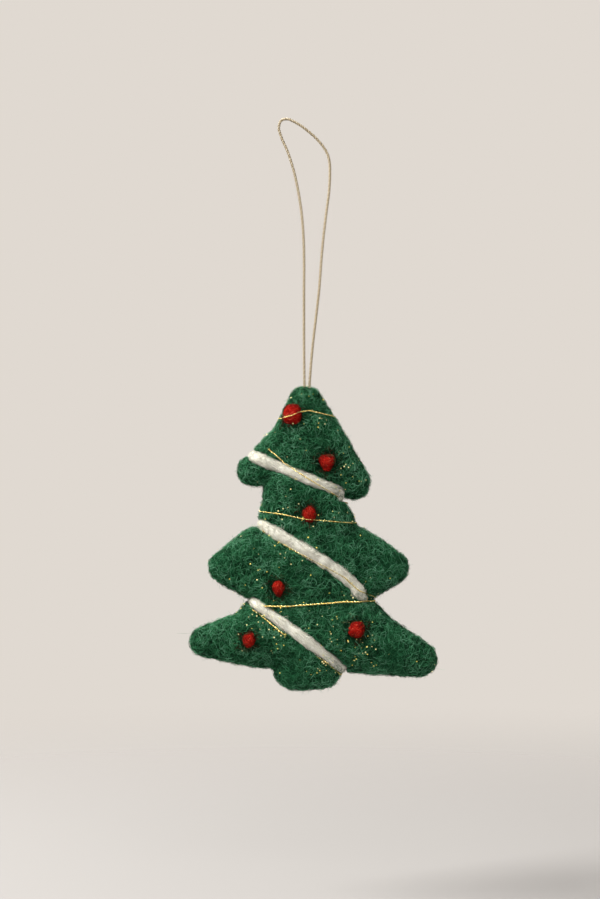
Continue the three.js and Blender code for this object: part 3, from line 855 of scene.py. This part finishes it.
CORD_PITCH = 1.6 * MM
CORD_SPACING = 0.18 * MM
CORD_OFFSET = 0.25 * MM
CORD_GOLD = [
    (186, 174, 151), (199, 188, 164), (167, 150, 120), (156, 140, 112), (180, 165, 139), (143, 127, 99),
]
FILAMENTS = 3
FILAMENT_RADIUS = 0.16 * MM
FILAMENT_OFFSET = 0.14 * MM
FILAMENT_PITCH = 0.9 * MM
TIP = Vector((6.6 * MM, 0, -87 * MM))
CORD_HALF_GAP = 0.85 * MM
CORD_BEND = 0.8 * MM
LEGS_BOTTOM = -6 * MM
COIL_RADIUS = 1.42 * MM
COIL_TURNS = 3
COIL_POINTS = 12 * COIL_TURNS
COIL_TOP = -8.9 * MM
COIL_BOTTOM = -11.1 * MM
COIL_INSIDE = 0.4 * CORD_HALF_GAP
KNOT_ROUNDS = 6


def twisted_cord(name, line):
    """A cord of two plies along a line, each twisted from three filaments."""
    lines = []
    for ply in plied(line, CORD_OFFSET, CORD_PITCH, CORD_SPACING, PLIES):
        lines.append(plied(ply, FILAMENT_OFFSET, FILAMENT_PITCH, CORD_SPACING, FILAMENTS))
    lines = np.concatenate(lines)
    radii = np.full(lines.shape[:2], FILAMENT_RADIUS)
    shades = metallised("gold_cord", CORD_GOLD, metallic=0.15, roughness=0.5)
    return tubes(name, lines, radii, STRAND_SIDES, shades, np.arange(len(lines)))


coil = []
for k in range(COIL_POINTS + 1):
    share = k / COIL_POINTS
    angle = math.pi - 2 * math.pi * COIL_TURNS * share
    height = COIL_BOTTOM + (COIL_TOP - COIL_BOTTOM) * share
    coil.append((COIL_RADIUS * math.cos(angle), COIL_RADIUS * math.sin(angle), height))
knot_route = [
    (-CORD_HALF_GAP, 0, CORD_BEND),
    (-CORD_HALF_GAP, 0, LEGS_BOTTOM),
    (-COIL_INSIDE, 0, COIL_TOP),
    (-COIL_INSIDE, 0, COIL_BOTTOM),
    *coil,
    (CORD_HALF_GAP, 0, LEGS_BOTTOM),
    (CORD_HALF_GAP, 0, CORD_BEND),
]
knot_line = np.array(knot_route) + np.array(TIP)
knot = twisted_cord("cord_knot", evenly(knot_line, CORD_SPACING, KNOT_ROUNDS))
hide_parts("anchor_knot")
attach(knot, "tree")


# Hanging cord
# A fine twisted cord with gold filament, both ends of which go into the tip of the tree.
# Its loop lies over whatever the ornament hangs from. The legs of the real cord twist and sway freely; here
# they are built at rest.

CORD_ROUTE = [
    (5.75, -86.2), (5.65, -78.5), (5.6, -71.2), (5.6, -63.6), (5.6, -55.3), (5.65, -47),
    (5.5, -38.8), (4.9, -30.5), (3.7, -22.5), (2, -15), (0, -9), (-1.9, -4.6), (-2.7, -1.4),
    (-1.8, 0.9), (0.1, 1.3), (2.4, 0.4), (4.3, -0.7), (6.6, -2.4), (8.5, -4), (10.6, -6.1),
    (12.1, -8), (13.4, -10.3), (14.1, -13.3), (14.2, -16.8), (13.9, -22.8), (13.1, -29), (12.3, -35.6),
    (11.5, -43.6), (10.6, -55.5), (9.7, -63.4), (8.7, -71.8), (7.9, -80), (7.45, -86.2),
]
CORD_PARTS = 12


def smooth_line(points, parts):
    """A smooth curve through points, each stretch of it cut into some parts."""
    points = np.array(points)
    lengths = np.concatenate([[0], np.cumsum(np.linalg.norm(np.diff(points, axis=0), axis=1))])
    slopes = np.gradient(points, lengths, axis=0)
    curve = []
    for i in range(len(points) - 1):
        span = lengths[i + 1] - lengths[i]
        for t in np.arange(parts) / parts:
            start = points[i] * (1 + 2 * t) * (1 - t) ** 2 + slopes[i] * span * t * (1 - t) ** 2
            end = points[i + 1] * t * t * (3 - 2 * t) + slopes[i + 1] * span * t * t * (t - 1)
            curve.append(start + end)
    return np.array(curve + [points[-1]])


cord_points = [(x * MM, 0, z * MM) for x, z in CORD_ROUTE]
cord_line = smooth_line(cord_points, CORD_PARTS)
cord = twisted_cord("hanging_cord", evenly(cord_line, CORD_SPACING, rounds=0))
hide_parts("loop_crown", "loop_leg_left", "loop_leg_right")
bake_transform(cord)


# Glitter
# Small flecks of gold foil, shed by the thread and strewn in a few places on the front.
# They are held by nothing but the outermost fibres of the felt and the yarn, in which they are caught.
# Their sparkle is painted into pale yellow colours, with little metal to reflect.

FLECK_COUNT = 150
FLECKS_BY_THREAD = 250
FLECK_SPREAD = 3 * MM
# Each cluster on the front has its place across and up, its spread, all in millimetres, and its count.
FLECK_CLUSTERS = [
    (23.5, -171, 3.5, 30), (-5, -165.5, 4.5, 36), (15.5, -165, 3, 12),
    (-2, -140, 2.5, 9), (-9, -147, 3, 9), (13, -179, 2.5, 14), (20, -114, 3, 14),
]
FLECK_RADIUS = (0.09 * MM, 0.26 * MM)
FLECK_LIFT = (0.8 * MM, 1.2 * MM)
FLECK_TILT = 0.35
FLECK_THICKNESS = 0.03 * MM
FLECK_SIDES = 6
# Pale yellows with little metal: a painted glint.
FLECK_GOLD_GLINT = [(255, 238, 116), (255, 246, 172)]

shed = thread_line[draw.integers(0, len(thread_line), FLECKS_BY_THREAD)]
shed = shed + draw.normal(0, FLECK_SPREAD, shed.shape)
heaps = [
    draw.normal((x * MM, -TREE_HALF, z * MM), (spread * MM, 0, spread * MM), (count, 3))
    for x, z, spread, count in FLECK_CLUSTERS
]
fleck_roots = np.concatenate([roots_on(felt, FLECK_COUNT, outside), shed, *heaps])
fleck_total = len(fleck_roots)
fleck_hits = [felt_and_yarn.find_nearest(root) for root in fleck_roots]
fleck_ups = np.array([up for _, up, _, _ in fleck_hits])
fleck_places = np.array([place for place, _, _, _ in fleck_hits])
fleck_places = fleck_places + fleck_ups * draw.uniform(*FLECK_LIFT, (fleck_total, 1))
fleck_tilts = unit(fleck_ups + draw.normal(0, FLECK_TILT, (fleck_total, 3)))
fleck_lines = np.stack([fleck_places, fleck_places + fleck_tilts * FLECK_THICKNESS], axis=1)
fleck_radii = np.repeat(draw.uniform(*FLECK_RADIUS, (fleck_total, 1)), fleck_lines.shape[1], axis=1)
fleck_choice = draw.integers(0, len(FLECK_GOLD_GLINT), fleck_total)
fleck_foil = metallised("glitter", FLECK_GOLD_GLINT, metallic=0.1, roughness=0.25)
flecks = tubes("glitter_flecks", fleck_lines, fleck_radii, FLECK_SIDES, fleck_foil, fleck_choice)
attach(flecks, "tree")


# Floor, light and camera
# A pale round floor under the hanging ornament, a large soft lamp from the upper left, weaker ones from
# the front and from behind, and the camera straight in front.

FLOOR_Z = -0.262
FLOOR_RADIUS = 0.9
FLOOR_SIDES = 96
FLOOR_FADE_START = 0.15
FLOOR_FADE_END = 0.6
FLOOR_SHADE = (159, 156, 155)
BACKDROP_SHADE = (224, 217, 209)
SKY_SHADE = (249, 248, 243)
SKY_BELOW = 0.08
SKY_ABOVE = 0.42
TREE_MIDDLE = Vector((TIP.x, 0, -137 * MM))
# Each lamp has its place, its size, its power and its colour.
LAMPS = {
    "key_lamp": ((-0.82, -0.38, 0.74), 0.6, 31, (254, 253, 248)),
    "fill_lamp": ((0.15, -1, 0.3), 0.7, 5, (252, 249, 248)),
    "back_lamp": ((-0.3, 0.8, 0.45), 0.7, 6, (255, 250, 244)),
}
CAMERA_PLACE = (4.3 * MM, -702.8 * MM, -108.1 * MM)
CAMERA_LENS = 85
CAMERA_SENSOR = 36

bpy.ops.object.select_all(action="DESELECT")
bpy.ops.mesh.primitive_circle_add(
    vertices=FLOOR_SIDES, radius=FLOOR_RADIUS, fill_type="NGON", location=(0, 0, FLOOR_Z)
)
floor = bpy.context.object
floor.name = "floor"
paper = bpy.data.materials.new("pale_floor")
paper.use_nodes = True
nodes = paper.node_tree.nodes
link = paper.node_tree.links.new
shader = nodes["Principled BSDF"]
shader.inputs["Base Color"].default_value = linear(*FLOOR_SHADE)
shader.inputs["Roughness"].default_value = 0.9
place = nodes.new("ShaderNodeTexCoord")
distance = nodes.new("ShaderNodeVectorMath")
distance.operation = "LENGTH"
fade = nodes.new("ShaderNodeMapRange")
fade.interpolation_type = "SMOOTHSTEP"
fade.inputs["From Min"].default_value = FLOOR_FADE_START
fade.inputs["From Max"].default_value = FLOOR_FADE_END
clear = nodes.new("ShaderNodeBsdfTransparent")
mixed = nodes.new("ShaderNodeMixShader")
link(place.outputs["Object"], distance.inputs[0])
link(distance.outputs["Value"], fade.inputs["Value"])
link(fade.outputs["Result"], mixed.inputs["Fac"])
link(shader.outputs["BSDF"], mixed.inputs[1])
link(clear.outputs["BSDF"], mixed.inputs[2])
link(mixed.outputs["Shader"], nodes["Material Output"].inputs["Surface"])
floor.data.materials.append(paper)

world = bpy.data.worlds.new("pale_room")
bpy.context.scene.world = world
world.use_nodes = True
nodes = world.node_tree.nodes
link = world.node_tree.links.new
light = nodes["Background"]
light.inputs["Color"].default_value = linear(*SKY_SHADE)
direction = nodes.new("ShaderNodeTexCoord")
height = nodes.new("ShaderNodeSeparateXYZ")
strength = nodes.new("ShaderNodeMapRange")
strength.inputs["From Min"].default_value = -1
strength.inputs["To Min"].default_value = SKY_BELOW
strength.inputs["To Max"].default_value = SKY_ABOVE
link(direction.outputs["Generated"], height.inputs["Vector"])
link(height.outputs["Z"], strength.inputs["Value"])
link(strength.outputs["Result"], light.inputs["Strength"])
backdrop = nodes.new("ShaderNodeBackground")
backdrop.inputs["Color"].default_value = linear(*BACKDROP_SHADE)
path = nodes.new("ShaderNodeLightPath")
seen_by_eye = nodes.new("ShaderNodeMath")
seen_by_eye.operation = "MAXIMUM"
seen_in_all = nodes.new("ShaderNodeMath")
seen_in_all.operation = "MAXIMUM"
either = nodes.new("ShaderNodeMixShader")
link(path.outputs["Is Camera Ray"], seen_by_eye.inputs[0])
link(path.outputs["Is Glossy Ray"], seen_by_eye.inputs[1])
link(seen_by_eye.outputs["Value"], seen_in_all.inputs[0])
link(path.outputs["Is Transmission Ray"], seen_in_all.inputs[1])
link(seen_in_all.outputs["Value"], either.inputs["Fac"])
link(light.outputs["Background"], either.inputs[1])
link(backdrop.outputs["Background"], either.inputs[2])
link(either.outputs["Shader"], nodes["World Output"].inputs["Surface"])

for name, (spot, size, power, colour) in LAMPS.items():
    lamp = bpy.data.lights.new(name, "AREA")
    lamp.size = size
    lamp.energy = power
    lamp.color = linear(*colour)[:3]
    holder = bpy.data.objects.new(name, lamp)
    holder.location = spot
    holder.rotation_euler = (TREE_MIDDLE - Vector(spot)).to_track_quat("-Z", "Y").to_euler()
    bpy.context.scene.collection.objects.link(holder)

lens = bpy.data.cameras.new("camera")
lens.lens = CAMERA_LENS
lens.sensor_fit = "VERTICAL"
lens.sensor_height = CAMERA_SENSOR
camera = bpy.data.objects.new("camera", lens)
camera.location = CAMERA_PLACE
camera.rotation_euler = (math.pi / 2, 0, 0)
bpy.context.scene.collection.objects.link(camera)
bpy.context.scene.camera = camera
bpy.context.scene.view_settings.view_transform = "Standard"
